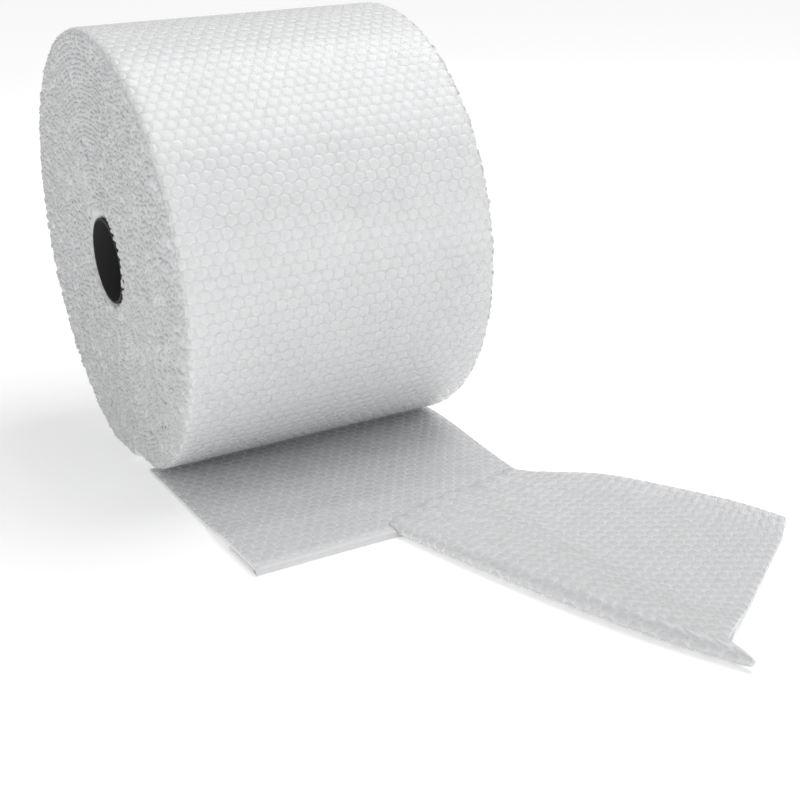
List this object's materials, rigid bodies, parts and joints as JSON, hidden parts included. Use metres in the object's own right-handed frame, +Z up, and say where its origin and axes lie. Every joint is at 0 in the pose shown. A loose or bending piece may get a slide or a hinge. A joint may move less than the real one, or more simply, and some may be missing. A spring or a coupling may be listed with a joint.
{
  "type": "bubble wrap roll",
  "caption": "Roll of clear bubble cushioning film on a tube core, lying on its side with a loose end folded and turned across the floor.",
  "frame": {"origin": "on the floor, straight below the middle of the roll's axis", "axes": "+X along the roll's axis, -Y towards the loose end, +Z up"},
  "size_m": [0.4063, 0.8508, 0.4072],
  "materials": {
    "bubble_film": "clear glossy film",
    "core_board": "matt wound board"
  },
  "bodies": {
    "root": {"bubble_web": "bubble_film", "core_tube": "core_board"}
  },
  "joints": []
}
